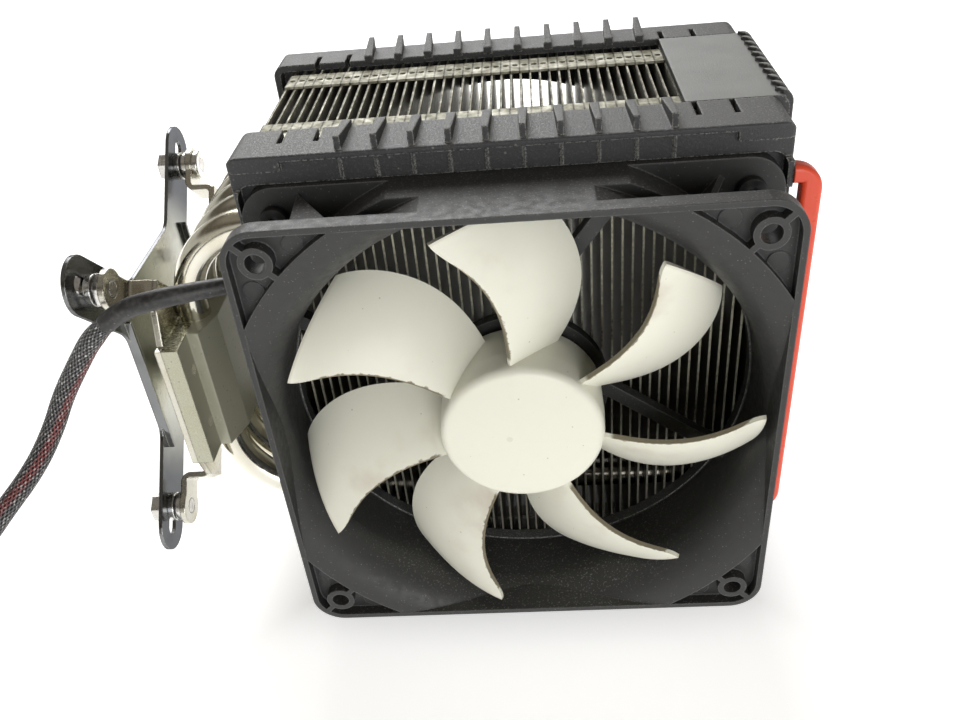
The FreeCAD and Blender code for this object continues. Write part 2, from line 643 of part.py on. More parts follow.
# ---- lead ----
def tube_along(name, route, radius):
    """A tube of straight runs joined by tangent arcs, each as large as its runs allow."""
    points = [Vector(*p) for p in route]
    edges = []
    start = points[0]
    radii = []
    for before, corner, after in zip(points, points[1:], points[2:]):
        back = (before - corner).normalize()
        on = (after - corner).normalize()
        trim = 0.45 * min((before - corner).Length, (after - corner).Length)
        turn = math.pi - back.getAngle(on)
        bend = trim / math.tan(turn / 2)
        radii.append(round(bend, 1))
        centre = corner + (back + on).normalize() * (bend / math.cos(turn / 2))
        nearest = centre + (corner - centre).normalize() * bend
        enter = corner + back * trim
        leave = corner + on * trim
        edges.append(Part.LineSegment(start, enter).toShape())
        edges.append(Part.Arc(enter, nearest, leave).toShape())
        start = leave
    edges.append(Part.LineSegment(start, points[-1]).toShape())
    spine = Part.Wire(edges)
    section = Part.Wire(Part.makeCircle(radius, points[0], points[1] - points[0]))
    tube = spine.makePipeShell([section], True, False)
    share = tube.Volume / (math.pi * radius ** 2 * spine.Length)
    print(name, "length", round(spine.Length, 1), "radii", radii, "volume share", round(share, 3))
    return tube


def fan_plug():
    """Four-way fan connector, lying inside the coil on the floor."""
    floor = -RIB_TIP
    x = COIL_CENTRE[0] + 13.3
    y = COIL_CENTRE[1]
    body = box(x - 5.1, x + 5.1, y - 7.0, y + 7.0, floor, floor + 5.8)
    for index in range(4):
        way = x - 3.81 + 2.54 * index
        body = body.cut(box(way - 0.6, way + 0.6, y - 8, y - 1.0, floor + 2.0, floor + 3.4))
        body = body.cut(box(way - 0.7, way + 0.7, y + 2.5, y + 8, floor + 1.8, floor + 4.2))
    guides = [box(x + side * 3.2 - 0.5, x + side * 3.2 + 0.5, y - 7, y + 3, floor + 5.7, floor + 6.8)
              for side in (-1, 1)]
    return join(body, *guides)


def cable_coil():
    """The outer shape of two flat turns of the lead, lying on the floor."""
    low = (*COIL_CENTRE, -RIB_TIP)
    high = (*COIL_CENTRE, 2 * LEAD_R - RIB_TIP)
    coil = rod(COIL_R + LEAD_R, low, high).cut(rod(COIL_R - 3 * LEAD_R, low, high))
    return coil.makeFillet(0.8 * LEAD_R, [e for e in coil.Edges if e.BoundBox.ZLength < 1e-6])


def lead():
    keep("heat_shrink", tube_along("heat_shrink", SHRINK_ROUTE, SHRINK_R))
    keep("fan_cable", tube_along("fan_cable", LEAD_ROUTE, LEAD_R))
    keep("cable_coil", cable_coil())
    keep("fan_plug", fan_plug())


def build():
    keep("fan_frame", fan_frame())
    keep("fan_rotor", fan_rotor())
    fan_motor()
    keep("fan_screws", *fan_screws())
    keep("front_bracket", front_bracket())
    keep("rear_bracket", rear_bracket())
    keep("handle", handle())
    keep("fin_stack", *fin_stack())
    for number, y in enumerate(pipe_places(), 1):
        keep("heat_pipe_%d" % number, heat_pipe(y))
    keep("end_cap", end_cap())
    keep("base_block", base_block())
    keep("cold_plate", cold_plate())
    keep("base_screws", *base_screws())
    keep("front_retainer", retainer(-1))
    keep("rear_retainer", retainer(1))
    keep("backplate", backplate())
    fixings()
    lead()


def export():
    os.makedirs("parts", exist_ok=True)
    print("origin", ORIGIN)
    for name, shape in NODES.items():
        shape.translate(-ORIGIN)
        size = shape.BoundBox
        print("%-16s solids %2d valid %s volume %9.1f x %7.2f %7.2f y %7.2f %7.2f z %7.2f %7.2f" % (
            name, len(shape.Solids), shape.isValid(), shape.Volume, size.XMin, size.XMax,
            size.YMin, size.YMax, size.ZMin, size.ZMax))
        shape.exportStep("parts/%s.step" % name)


build()
export()
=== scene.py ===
import bpy
import bmesh
import math
from mathutils import Matrix, Vector


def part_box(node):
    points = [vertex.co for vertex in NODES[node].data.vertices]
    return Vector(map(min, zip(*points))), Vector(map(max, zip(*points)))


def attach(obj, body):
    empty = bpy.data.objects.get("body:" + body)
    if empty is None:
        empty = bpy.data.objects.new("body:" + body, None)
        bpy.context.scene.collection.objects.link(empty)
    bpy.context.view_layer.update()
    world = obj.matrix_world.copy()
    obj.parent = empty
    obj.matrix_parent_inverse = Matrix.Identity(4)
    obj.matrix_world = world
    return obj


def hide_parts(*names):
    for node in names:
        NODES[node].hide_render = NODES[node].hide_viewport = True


# A CPU tower cooler lying on the ribs of its fan brackets. Metres throughout.
# Places are counted from the centre of the fan's front face, as in the CAD source.

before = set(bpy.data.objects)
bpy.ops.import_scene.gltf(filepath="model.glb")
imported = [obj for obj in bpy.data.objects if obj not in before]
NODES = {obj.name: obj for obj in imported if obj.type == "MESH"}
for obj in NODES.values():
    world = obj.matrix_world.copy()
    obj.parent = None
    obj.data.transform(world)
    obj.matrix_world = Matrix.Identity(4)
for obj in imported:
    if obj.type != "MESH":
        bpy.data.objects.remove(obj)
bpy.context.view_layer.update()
FAN_LOW, FAN_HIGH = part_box("fan_frame")
FAN_CENTRE = Vector(((FAN_LOW.x + FAN_HIGH.x) / 2, FAN_LOW.y, (FAN_LOW.z + FAN_HIGH.z) / 2))


def at(x, y, z):
    """A point counted from the fan's front centre, in metres."""
    return FAN_CENTRE + Vector((x, y, z))


# ---- camera ----
CAMERA_AT = (0.00618, -0.16552, 0.14372)
CAMERA_TURN = math.radians(4.91)
CAMERA_TILT = math.radians(90 - 35.46)
CAMERA_ROLL = math.radians(-5.77)
LENS = 34.74


def make_camera():
    """The camera at the photograph's place and angle."""
    data = bpy.data.cameras.new("camera")
    data.lens = LENS
    data.sensor_width = 36.0
    data.clip_start = 0.01
    camera = bpy.data.objects.new("camera", data)
    bpy.context.scene.collection.objects.link(camera)
    look = (Matrix.Rotation(CAMERA_TURN, 4, "Z") @ Matrix.Rotation(CAMERA_TILT, 4, "X")
            @ Matrix.Rotation(CAMERA_ROLL, 4, "Z"))
    camera.matrix_world = Matrix.Translation(at(*CAMERA_AT)) @ look
    bpy.context.scene.camera = camera


# ---- the fan's lead ----
LEAD_R = 0.0025
SHRINK_R = 0.0023
SHRINK_START_R = 0.0018
SHRINK_TAPER = 0.034
BRAID_TUCK = 0.0004
BRAID_TAPER = 0.005
COIL_CENTRE = (-0.198, -0.005)
COIL_R = 0.0275
COIL_TURN = math.radians(557)
COIL_STEPS = 28
INWARD_FROM = math.radians(250)
INWARD_OVER = math.radians(110)
COIL_TAIL = ((0.0090, 0.0207), (0.0118, 0.0182), (0.0133, 0.0147), (0.0133, 0.0066))
FLOOR = -0.0702
SHRINK_ROUTE = [(-0.0500, 0.0125, 0.0418), (-0.0605, 0.0120, 0.0415), (-0.0710, 0.0076, 0.0424),
                (-0.0805, 0.0056, 0.0418), (-0.0877, 0.0060, 0.0395), (-0.0920, 0.0062, 0.0361)]
LEAD_ROUTE = [(-0.0920, 0.0062, 0.0361), (-0.0963, 0.0064, 0.0327), (-0.1014, 0.0060, 0.0263),
              (-0.1070, 0.0036, 0.0186), (-0.1103, 0.0002, 0.0118), (-0.1148, -0.0064, 0.0048),
              (-0.1225, -0.0149, -0.0022), (-0.1365, -0.0240, -0.0175), (-0.1480, -0.0305, -0.0355),
              (-0.1585, -0.0340, -0.0510), (-0.1690, -0.0360, -0.0626), (-0.1820, -0.0350, -0.0677),
              (-0.1980, -0.0325, -0.0677)]


def coil_points():
    """Two flat turns, the second inside the first, ending at the plug in the middle."""
    points = []
    for step in range(1, COIL_STEPS + 1):
        turned = COIL_TURN * step / COIL_STEPS
        share = min(1.0, max(0.0, (turned - INWARD_FROM) / INWARD_OVER))
        radius = COIL_R - 2 * LEAD_R * share
        angle = -math.pi / 2 - turned
        points.append((COIL_CENTRE[0] + radius * math.cos(angle),
                       COIL_CENTRE[1] + radius * math.sin(angle), FLOOR + LEAD_R))
    for x, y in COIL_TAIL:
        points.append((COIL_CENTRE[0] + x, COIL_CENTRE[1] + y, FLOOR + LEAD_R))
    return points


def along_route(route):
    """Points read from the route's NURBS spline."""
    curve = bpy.data.curves.new("route", "CURVE")
    curve.dimensions = "3D"
    curve.resolution_u = 16
    spline = curve.splines.new("NURBS")
    spline.points.add(len(route) - 1)
    for point, place in zip(spline.points, route):
        point.co = (*at(*place), 1.0)
    spline.order_u = 3
    spline.use_endpoint_u = True
    carrier = bpy.data.objects.new("route", curve)
    bpy.context.scene.collection.objects.link(carrier)
    bpy.context.view_layer.update()
    mesh = bpy.data.meshes.new_from_object(carrier)
    points = [v.co.copy() for v in mesh.vertices]
    bpy.data.objects.remove(carrier)
    bpy.data.meshes.remove(mesh)
    bpy.data.curves.remove(curve)
    return points


def new_object(name, mesh):
    """An object for the mesh, in the scene."""
    obj = bpy.data.objects.new(name, mesh)
    bpy.context.scene.collection.objects.link(obj)
    return obj


def tube(name, points, radius, sides=20):
    """A closed tube round the points, with U along it in metres and V round it from 0 to 1.

    The radius is a function of the length gone along the tube.
    """
    bm = bmesh.new()
    uv = bm.loops.layers.uv.new("UVMap")
    across = Vector((0, 0, 1))
    rings, gone = [], [0.0]
    for index, point in enumerate(points):
        before = points[max(index - 1, 0)]
        after = points[min(index + 1, len(points) - 1)]
        way = (after - before).normalized()
        across = (across - way * across.dot(way)).normalized()
        other = way.cross(across)
        if index:
            gone.append(gone[-1] + (point - before).length)
        size = radius(gone[-1])
        ring = []
        for side in range(sides):
            angle = 2 * math.pi * side / sides
            ring.append(bm.verts.new(point + size * (across * math.cos(angle) + other * math.sin(angle))))
        rings.append(ring)
    for index in range(len(rings) - 1):
        for side in range(sides):
            nxt = (side + 1) % sides
            face = bm.faces.new((rings[index][side], rings[index][nxt],
                                 rings[index + 1][nxt], rings[index + 1][side]))
            face.smooth = True
            corners = ((gone[index], side), (gone[index], side + 1),
                       (gone[index + 1], side + 1), (gone[index + 1], side))
            for loop, (u, v) in zip(face.loops, corners):
                loop[uv].uv = (u, v / sides)
    bm.faces.new(rings[0][::-1])
    bm.faces.new(rings[-1])
    bmesh.ops.recalc_face_normals(bm, faces=bm.faces)
    mesh = bpy.data.meshes.new(name)
    bm.to_mesh(mesh)
    bm.free()
    return new_object(name, mesh)


def sleeve_radius(gone):
    """The heat-shrink is tight on the wires at the fan and wider where it grips the braid."""
    share = min(1.0, gone / SHRINK_TAPER)
    return SHRINK_START_R + (SHRINK_R - SHRINK_START_R) * share * share * (3 - 2 * share)


def lead_radius(gone):
    """The braid starts inside the sleeve's end and swells to its full size."""
    return LEAD_R - BRAID_TUCK * max(0.0, 1.0 - gone / BRAID_TAPER)


def make_lead():
    """The braided lead with its coil, and the heat-shrink sleeve where it leaves the fan."""
    points = along_route(LEAD_ROUTE + coil_points())
    lead = tube("braided_lead", points, lead_radius)
    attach(lead, "cooler")
    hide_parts("fan_cable", "cable_coil")
    sleeve_points = along_route(SHRINK_ROUTE)
    sleeve = tube("shrink_sleeve", sleeve_points, sleeve_radius)
    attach(sleeve, "cooler")
    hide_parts("heat_shrink")
    return lead, sleeve


make_camera()
LEAD, SLEEVE = make_lead()


# ---- materials ----
class Finish:
    """A material in the making: its Principled shader and the nodes that feed it.

    Places are the object's own coordinates in metres, counted from the fan's front centre.
    """

    def __init__(self, name, colour, rough, metal=0.0, node=None):
        self.made = bpy.data.materials.new(name)
        self.made.use_nodes = True
        self.tree = self.made.node_tree
        self.shader = self.tree.nodes["Principled BSDF"]
        self.shader.inputs["Base Color"].default_value = (*colour, 1)
        self.shader.inputs["Roughness"].default_value = rough
        self.shader.inputs["Metallic"].default_value = metal
        self.colour = colour
        self.normal = None
        own = self.add("ShaderNodeTexCoord").outputs["Object"]
        centre = FAN_CENTRE
        if node:
            centre = NODES[node].matrix_world.inverted() @ FAN_CENTRE
        self.place = self.vector("SUBTRACT", own, tuple(centre))
        self.facing = self.add("ShaderNodeNewGeometry").outputs["Normal"]

    def add(self, kind, **settings):
        """A new node with its settings."""
        made = self.tree.nodes.new(kind)
        for name, value in settings.items():
            setattr(made, name, value)
        return made

    def feed(self, socket, value):
        """Link a node's output to the socket, or set the socket to a number or colour."""
        if isinstance(value, bpy.types.NodeSocket):
            self.tree.links.new(value, socket)
        elif isinstance(value, tuple) and len(value) == 3 and socket.type == "RGBA":
            socket.default_value = (*value, 1)
        else:
            socket.default_value = value

    def math(self, operation, *values):
        """A sum or function of numbers."""
        made = self.add("ShaderNodeMath", operation=operation)
        for socket, value in zip(made.inputs, values):
            self.feed(socket, value)
        return made.outputs[0]

    def vector(self, operation, *values):
        """A sum or function of vectors."""
        made = self.add("ShaderNodeVectorMath", operation=operation)
        for socket, value in zip(made.inputs, values):
            self.feed(socket, value)
        return made.outputs["Value"] if operation == "DOT_PRODUCT" else made.outputs[0]

    def split(self, vector):
        """A vector's X, Y and Z."""
        made = self.add("ShaderNodeSeparateXYZ")
        self.feed(made.inputs[0], vector)
        return made.outputs[0], made.outputs[1], made.outputs[2]

    def ramp(self, value, low, high, start=0.0, end=1.0):
        """A smooth step of a value from one figure to another."""
        made = self.add("ShaderNodeMapRange", interpolation_type="SMOOTHSTEP")
        for name, given in (("Value", value), ("From Min", low), ("From Max", high),
                            ("To Min", start), ("To Max", end)):
            self.feed(made.inputs[name], given)
        return made.outputs[0]

    def noise(self, grain, detail=3.0, stretch=None):
        """Cloudy noise from 0 to 1 whose grains are that many metres wide."""
        made = self.add("ShaderNodeTexNoise")
        where = self.place if stretch is None else self.vector("MULTIPLY", self.place, stretch)
        self.feed(made.inputs["Vector"], where)
        made.inputs["Scale"].default_value = 1.0 / grain
        made.inputs["Detail"].default_value = detail
        return made.outputs[0]

    def specks(self, spacing, size):
        """Small separate dots, 1 inside and 0 outside."""
        made = self.add("ShaderNodeTexVoronoi")
        self.feed(made.inputs["Vector"], self.place)
        made.inputs["Scale"].default_value = 1.0 / spacing
        pick = self.split(made.outputs["Color"])[0]
        reach = self.math("MULTIPLY", pick, size / spacing)
        return self.ramp(made.outputs["Distance"], reach, self.math("MULTIPLY", reach, 0.5))

    def edges(self, radius):
        """Where the surface turns a sharp corner within the radius; also rounds the shading there."""
        bevel = self.add("ShaderNodeBevel", samples=6)
        bevel.inputs["Radius"].default_value = radius
        self.normal = bevel.outputs[0]
        alike = self.vector("DOT_PRODUCT", bevel.outputs[0], self.facing)
        return self.ramp(self.math("SUBTRACT", 1.0, alike), 0.02, 0.25)

    def upward(self, low, high):
        """1 on faces that look up and 0 on walls."""
        return self.ramp(self.split(self.facing)[2], low, high)

    def blend(self, factor, first, second):
        """The first colour, covered by the second as far as the factor says."""
        made = self.add("ShaderNodeMix", data_type="RGBA")
        self.feed(made.inputs[0], factor)
        self.feed(made.inputs[6], first)
        self.feed(made.inputs[7], second)
        return made.outputs[2]

    def product(self, *values):
        """All the values multiplied together."""
        total = values[0]
        for value in values[1:]:
            total = self.math("MULTIPLY", total, value)
        return total

    def paint(self, *layers):
        """Lay colours over the base one; each layer is (factor, colour)."""
        result = self.colour
        for factor, colour in layers:
            result = self.blend(factor, result, colour)
        self.feed(self.shader.inputs["Base Color"], result)

    def rough(self, value):
        """Roughness that varies over the surface."""
        self.feed(self.shader.inputs["Roughness"], value)

    def bump(self, height, depth, strength=1.0):
        """Fine relief that many metres deep, on top of any rounded edges."""
        made = self.add("ShaderNodeBump")
        made.inputs["Strength"].default_value = strength
        made.inputs["Distance"].default_value = depth
        self.feed(made.inputs["Height"], height)
        if self.normal is not None:
            self.feed(made.inputs["Normal"], self.normal)
        self.normal = made.outputs[0]

    def done(self):
        """The finished material."""
        if self.normal is not None:
            self.feed(self.shader.inputs["Normal"], self.normal)
        return self.made


def put(made, *pieces):
    """Give CAD nodes or pieces their material."""
    for piece in pieces:
        data = NODES[piece].data if isinstance(piece, str) else piece.data
        data.materials.clear()
        data.materials.append(made)


DUST = (0.30, 0.29, 0.265)


def fan_plastic():
    """Satin black moulding with dust on its ledges and painted highlights along its edges."""
    f = Finish("black_fan_plastic", (0.035, 0.0355, 0.0355), 0.4)
    f.shader.inputs["Specular IOR Level"].default_value = 0.36
    edge = f.edges(0.0006)
    cloud = f.noise(0.006, 5.0)
    fine = f.noise(0.0005, 3.0)
    film = f.product(f.upward(0.5, 0.98), f.ramp(cloud, 0.2, 0.8, 0.75, 1.0))
    dots = f.specks(0.0008, 0.0002)
    f.paint((f.ramp(cloud, 0.35, 0.8, 0.0, 0.12), (0.04, 0.039, 0.037)),
            (f.math("MULTIPLY", film, 0.04), DUST),
            (f.product(film, f.ramp(fine, 0.57, 0.7), 0.5), (0.36, 0.36, 0.34)),
            # Painted highlight: pale grey along the sharp edges.
            (f.product(edge, f.ramp(fine, 0.3, 0.6, 0.4, 1.0), 0.4), (0.34, 0.34, 0.34)),
            (f.math("MULTIPLY", dots, 0.35), DUST))
    f.rough(f.ramp(f.noise(0.002, 4.0), 0.3, 0.75, 0.38, 0.55))
    f.bump(fine, 0.00004, 0.7)
    return f.done()


def bracket_plastic(name, film, dust):
    """Spark-textured black moulding; its top faces are greyed partly by a film of dust and partly by
    painted light, with painted glints on top and painted highlights along its edges.
    """
    f = Finish(name, (0.031, 0.0315, 0.034), 0.55)
    edge = f.edges(0.0007)
    grain = f.noise(0.00045, 2.0)
    cloud = f.noise(0.009, 5.0)
    top = f.product(f.upward(0.6, 0.99), f.ramp(cloud, 0.25, 0.75, 0.8, 0.95))
    sparkle = f.ramp(grain, 0.5, 0.72)
    f.paint((f.math("MULTIPLY", sparkle, 0.45), (0.11, 0.11, 0.11)),
            # Top faces: a cloudy grey film, partly dust and partly painted light.
            (f.math("MULTIPLY", top, film), dust),
            # Painted glints: brighter sparkle on the top faces only.
            (f.product(f.upward(0.6, 0.99), sparkle, 0.45), (0.42, 0.42, 0.42)),
            # Painted highlight: pale grey along the sharp edges.
            (f.product(edge, f.ramp(grain, 0.35, 0.6), 0.85), (0.50, 0.50, 0.46)),
            (f.math("MULTIPLY", f.specks(0.0025, 0.0004), 0.5), DUST))
    f.rough(f.ramp(grain, 0.3, 0.7, 0.45, 0.75))
    f.bump(grain, 0.00012, 0.8)
    return f.done()


HUB_R = 0.020
BLADE_R = 0.0564
BLADES = 7
LEAD_ANGLE = (math.radians(-8.0), math.radians(-6.5), math.radians(21.0))
LINE_MARGIN = math.radians(4.0)
GATE_MARK = (-0.003, 0.001)


def rotor_plastic():
    """Creamy white moulding; dirt gathers in a ragged line along each blade's leading edge."""
    f = Finish("white_plastic", (0.81, 0.81, 0.70), 0.38, node="fan_rotor")
    f.shader.inputs["Subsurface Weight"].default_value = 0.12
    f.shader.inputs["Subsurface Radius"].default_value = (0.002, 0.0018, 0.0013)
    x, _, z = f.split(f.place)
    radius = f.math("SQRT", f.math("ADD", f.math("MULTIPLY", x, x), f.math("MULTIPLY", z, z)))
    out = f.math("DIVIDE", f.math("SUBTRACT", radius, HUB_R), BLADE_R - HUB_R)
    sweep = f.math("MULTIPLY_ADD", out, LEAD_ANGLE[2], LEAD_ANGLE[1])
    leading = f.math("MULTIPLY_ADD", out, sweep, LEAD_ANGLE[0])
    behind = f.math("SUBTRACT", f.math("ADD", leading, LINE_MARGIN), f.math("ARCTAN2", z, x))
    behind = f.math("FLOORED_MODULO", behind, 2 * math.pi / BLADES)
    inward = f.math("MULTIPLY", f.math("SUBTRACT", behind, LINE_MARGIN), radius)
    ragged = f.ramp(f.noise(0.0014, 5.0), 0.42, 0.85, 0.00035, 0.0013)
    line = f.ramp(inward, ragged, f.math("MULTIPLY", ragged, 0.35))
    on_blade = f.ramp(radius, 0.0208, 0.0222)
    tip = f.ramp(radius, BLADE_R - 0.0009, BLADE_R - 0.0002)
    # Cloudy brownish darkening that fades out over 16 mm behind each blade's leading edge.
    brownish_patches = f.product(f.ramp(f.noise(0.014, 4.0), 0.45, 0.8), f.ramp(inward, 0.016, 0.0, 0.0, 1.0))
    gate_x = f.math("SUBTRACT", x, GATE_MARK[0])
    gate_z = f.math("SUBTRACT", z, GATE_MARK[1])
    gate = f.math("SQRT", f.math("ADD", f.math("POWER", gate_x, 2.0), f.math("POWER", gate_z, 2.0)))
    f.paint((f.math("MULTIPLY", f.noise(0.02, 3.0), 0.12), (0.70, 0.66, 0.56)),
            (f.product(brownish_patches, on_blade, 0.45), (0.42, 0.31, 0.24)),
            (f.product(line, on_blade, 0.88), (0.15, 0.12, 0.065)),
            (f.math("MULTIPLY", tip, 0.35), (0.45, 0.40, 0.33)),
            (f.math("MULTIPLY", f.specks(0.003, 0.0003), 0.5), (0.25, 0.22, 0.18)),
            (f.ramp(gate, 0.0009, 0.0006, 0.0, 0.35), (0.55, 0.53, 0.46)))
    f.rough(f.ramp(line, 0.0, 1.0, 0.34, 0.85))
    f.bump(f.noise(0.004, 2.0), 0.00004, 0.4)
    return f.done()


def bright_metal(name, colour, rough, tarnish, grain, stretch=None, painted_shade_past=None):
    """Plated or ground metal with cloudy tarnish, fine scratches and softened edges.

    Past the given place along X the colour is darkened almost to black: painted shade on the pipes
    between the fins.
    """
    f = Finish(name, colour, rough, 1.0)
    f.edges(0.0005)
    cloud = f.noise(grain, 5.0)
    fine = f.noise(0.0012, 4.0, stretch)
    layers = [(f.ramp(cloud, 0.4, 0.75, 0.0, 0.5), tarnish),
              (f.math("MULTIPLY", f.specks(0.003, 0.0003), 0.3), (0.25, 0.20, 0.14))]
    if painted_shade_past is not None:
        # Painted shade: the pipes go almost black between the fins.
        inside = f.ramp(f.split(f.place)[0], painted_shade_past, painted_shade_past + 0.002)
        layers.append((f.math("MULTIPLY", inside, 0.92), (0.05, 0.045, 0.04)))
    f.paint(*layers)
    f.rough(f.math("ADD", f.ramp(fine, 0.3, 0.75, rough * 0.75, rough * 1.5),
                   f.ramp(cloud, 0.5, 0.8, 0.0, 0.12)))
    f.bump(fine, 0.00001, 0.5)
    return f.done()


WING_TOP = -0.0845


def base_metal():
    """Nickel on copper: bright on the wings' ends, dull olive over the block that grips the pipes; the
    same dull olive on faces that look to +X is painted shade.
    """
    f = Finish("nickel_base", (0.43, 0.43, 0.34), 0.26, 1.0)
    f.edges(0.0005)
    cloud = f.noise(0.010, 5.0)
    fine = f.noise(0.0009, 4.0, (1.0, 8.0, 1.0))
    x = f.split(f.place)[0]
    # Dull olive, less metallic and rougher above the wings' top, and as painted shade on every face that
    # looks to +X.
    matte_and_shaded_side = f.math("MAXIMUM", f.ramp(x, WING_TOP - 0.0002, WING_TOP + 0.0002),
                       f.ramp(f.split(f.facing)[0], 0.4, 0.9))
    film = f.math("MULTIPLY", matte_and_shaded_side, f.ramp(cloud, 0.2, 0.7, 0.98, 0.85))
    f.paint((f.ramp(cloud, 0.4, 0.75, 0.0, 0.6), (0.40, 0.38, 0.27)),
            (film, (0.38, 0.375, 0.29)),
            (f.product(f.ramp(fine, 0.55, 0.8), 0.4), (0.62, 0.60, 0.50)),
            (f.math("MULTIPLY", f.specks(0.0016, 0.0003), 0.5), (0.05, 0.045, 0.035)))
    f.feed(f.shader.inputs["Metallic"], f.ramp(film, 0.0, 1.0, 1.0, 0.35))
    f.rough(f.math("ADD", f.ramp(fine, 0.3, 0.75, 0.2, 0.38), f.math("MULTIPLY", film, 0.16)))
    f.bump(fine, 0.00001, 0.5)
    return f.done()


FIN_TOP = 0.0644
FIN_NEAR = 0.0285
FIN_PITCH = 0.00246
FIN_OFFSET = -0.0002


def fin_aluminium():
    """Rolled sheet with creamy dust on the outer edges and folded tabs; painted shade darkens the sheets
    between the fins, and the front edges get painted light that fades to painted shade towards the
    bottom.
    """
    f = Finish("fin_aluminium", (0.66, 0.65, 0.61), 0.32, 1.0)
    x, y, z = f.split(f.place)
    height = f.math("ABSOLUTE", z)
    rag = f.noise(0.0009, 5.0)
    line = f.ramp(rag, 0.3, 0.7, FIN_TOP - 0.0012, FIN_TOP - 0.0001)
    rim = f.ramp(height, f.math("SUBTRACT", line, 0.0003), line)
    turn = f.math("FRACT", f.math("DIVIDE", f.math("SUBTRACT", x, FIN_OFFSET), FIN_PITCH))
    seam = f.ramp(f.math("ABSOLUTE", f.math("SUBTRACT", turn, 0.5)), 0.12, 0.05)
    outward = f.ramp(f.math("MULTIPLY", f.split(f.facing)[2], f.math("SIGN", z)), -0.6, -0.2)
    dust = f.product(rim, outward, f.ramp(f.noise(0.004, 4.0), 0.3, 0.65, 0.55, 1.0))
    # Painted shade: the sheets go dark olive more than 6 mm in from the top and bottom edges.
    deep = f.ramp(height, FIN_TOP, FIN_TOP - 0.006)
    front = f.ramp(y, FIN_NEAR + 0.0008, FIN_NEAR + 0.0001)
    olive = f.ramp(f.noise(0.0018, 5.0), 0.35, 0.6, 0.1, 0.9)
    # Painted light on the front edges, strongest at the top and fading to painted shade towards the
    # bottom.
    lit = f.product(f.ramp(rag, 0.3, 0.6, 0.4, 0.95), f.ramp(z, -0.045, 0.02, 0.3, 1.0))
    f.paint((f.math("MULTIPLY", deep, 0.9), (0.29, 0.28, 0.23)),
            # Front edges: painted near-black, then painted light over them that fades to painted shade
            # towards the bottom.
            (f.math("MULTIPLY", front, 0.95), (0.06, 0.058, 0.048)),
            (f.product(front, lit), (0.44, 0.43, 0.34)),
            (dust, (0.56, 0.55, 0.44)),
            (f.math("MULTIPLY", dust, olive), (0.23, 0.22, 0.15)),
            (f.product(dust, seam, f.ramp(rag, 0.3, 0.55, 0.4, 0.95)), (0.05, 0.047, 0.035)))
    coated = f.math("MAXIMUM", dust, front)
    f.feed(f.shader.inputs["Metallic"], f.ramp(coated, 0.0, 1.0, 1.0, 0.25))
    f.rough(f.ramp(coated, 0.0, 1.0, 0.38, 0.7))
    f.bump(rag, 0.00012, 0.7)
    return f.done()


PLATE_MIDDLE_Y = 0.058


def backplate_steel():
    """Black chrome: a dark mirror with painted highlights in the middle of its +X faces and along its
    edges, and dust specks.
    """
    f = Finish("black_steel", (0.22, 0.225, 0.23), 0.18, 1.0)
    f.shader.inputs["Specular Tint"].default_value = (0.3, 0.3, 0.32, 1)
    edge = f.edges(0.0004)
    cloud = f.noise(0.012, 5.0)
    y, z = f.split(f.place)[1:]
    off = f.math("SUBTRACT", y, PLATE_MIDDLE_Y)
    span = f.math("SQRT", f.math("ADD", f.math("MULTIPLY", off, off), f.math("MULTIPLY", z, z)))
    # Painted highlight: a bright round patch in the middle of the faces that look to +X.
    painted_middle_highlight = f.product(f.ramp(span, 0.044, 0.024), f.ramp(f.split(f.facing)[0], 0.5, 0.9))
    f.paint((f.ramp(cloud, 0.45, 0.8, 0.0, 0.35), (0.08, 0.08, 0.08)),
            (f.math("MULTIPLY", painted_middle_highlight, 0.9), (0.78, 0.78, 0.70)),
            # Painted highlight along the sharp edges.
            (f.product(edge, f.ramp(f.noise(0.0006, 3.0), 0.4, 0.6), 0.7), (0.75, 0.73, 0.68)),
            (f.math("MULTIPLY", f.specks(0.0022, 0.0004), 0.6), DUST))
    f.rough(f.ramp(cloud, 0.3, 0.8, 0.10, 0.34))
    f.bump(f.noise(0.003, 3.0), 0.00004, 0.5)
    return f.done()


def handle_plastic():
    """Glossy red moulding, a little faded."""
    f = Finish("red_plastic", (0.80, 0.085, 0.035), 0.3)
    f.shader.inputs["Subsurface Weight"].default_value = 0.05
    f.shader.inputs["Subsurface Radius"].default_value = (0.002, 0.0006, 0.0004)
    f.edges(0.0005)
    cloud = f.noise(0.007, 4.0)
    f.paint((f.ramp(cloud, 0.4, 0.75, 0.0, 0.35), (0.76, 0.05, 0.016)),
            (f.math("MULTIPLY", f.specks(0.003, 0.0004), 0.4), (0.55, 0.35, 0.28)))
    f.rough(f.ramp(cloud, 0.3, 0.7, 0.22, 0.42))
    f.bump(f.noise(0.0008, 3.0), 0.00002, 0.5)
    return f.done()


BRAID_PITCH = 0.0037
BRAID_STRANDS = 18
RED_WIRE_TWIST = -5.5


